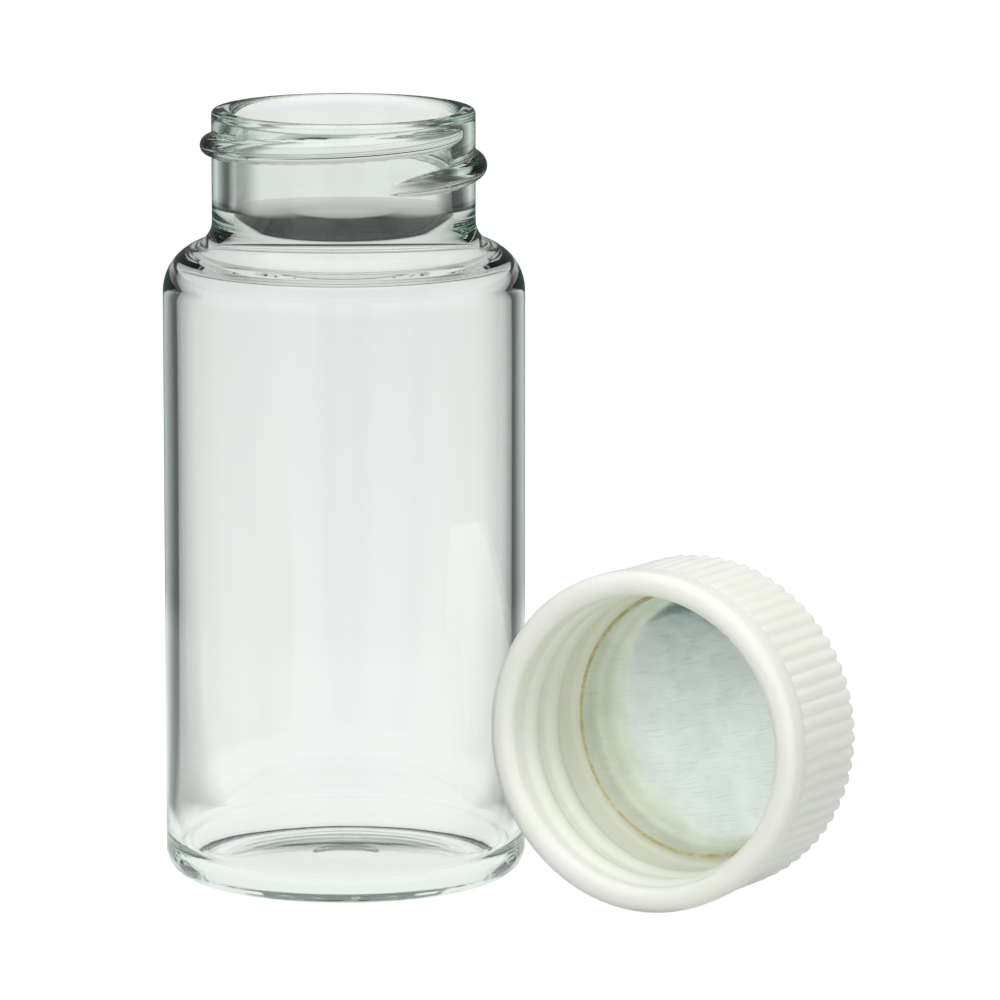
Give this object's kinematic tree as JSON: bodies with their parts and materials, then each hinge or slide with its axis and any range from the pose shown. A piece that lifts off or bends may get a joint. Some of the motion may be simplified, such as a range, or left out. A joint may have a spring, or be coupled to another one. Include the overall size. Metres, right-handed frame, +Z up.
{
  "type": "glass sample vial",
  "caption": "Clear glass sample vial with a threaded neck, a rounded shoulder and a ribbed white screw cap that lies beside it, lined with foil-faced pulp board.",
  "frame": {"origin": "centre of the plane that the vial stands on, on the vial's axis", "axes": "+Z up along the vial's axis towards the mouth; +X to the side on which the cap lies; -Y towards the open side of the cap"},
  "size_m": [0.0524, 0.0349, 0.0588],
  "materials": {
    "glass": "clear, faintly green where it is thick",
    "cap_plastic": "ivory white, satin moulded",
    "pulp_board": "pressed pulp board, matt",
    "foil": "rolled foil, semi-bright, fine streaks"
  },
  "bodies": {
    "root": {"vial": "glass", "cap": "cap_plastic", "liner_board": "pulp_board", "liner_foil": "foil"}
  },
  "joints": []
}
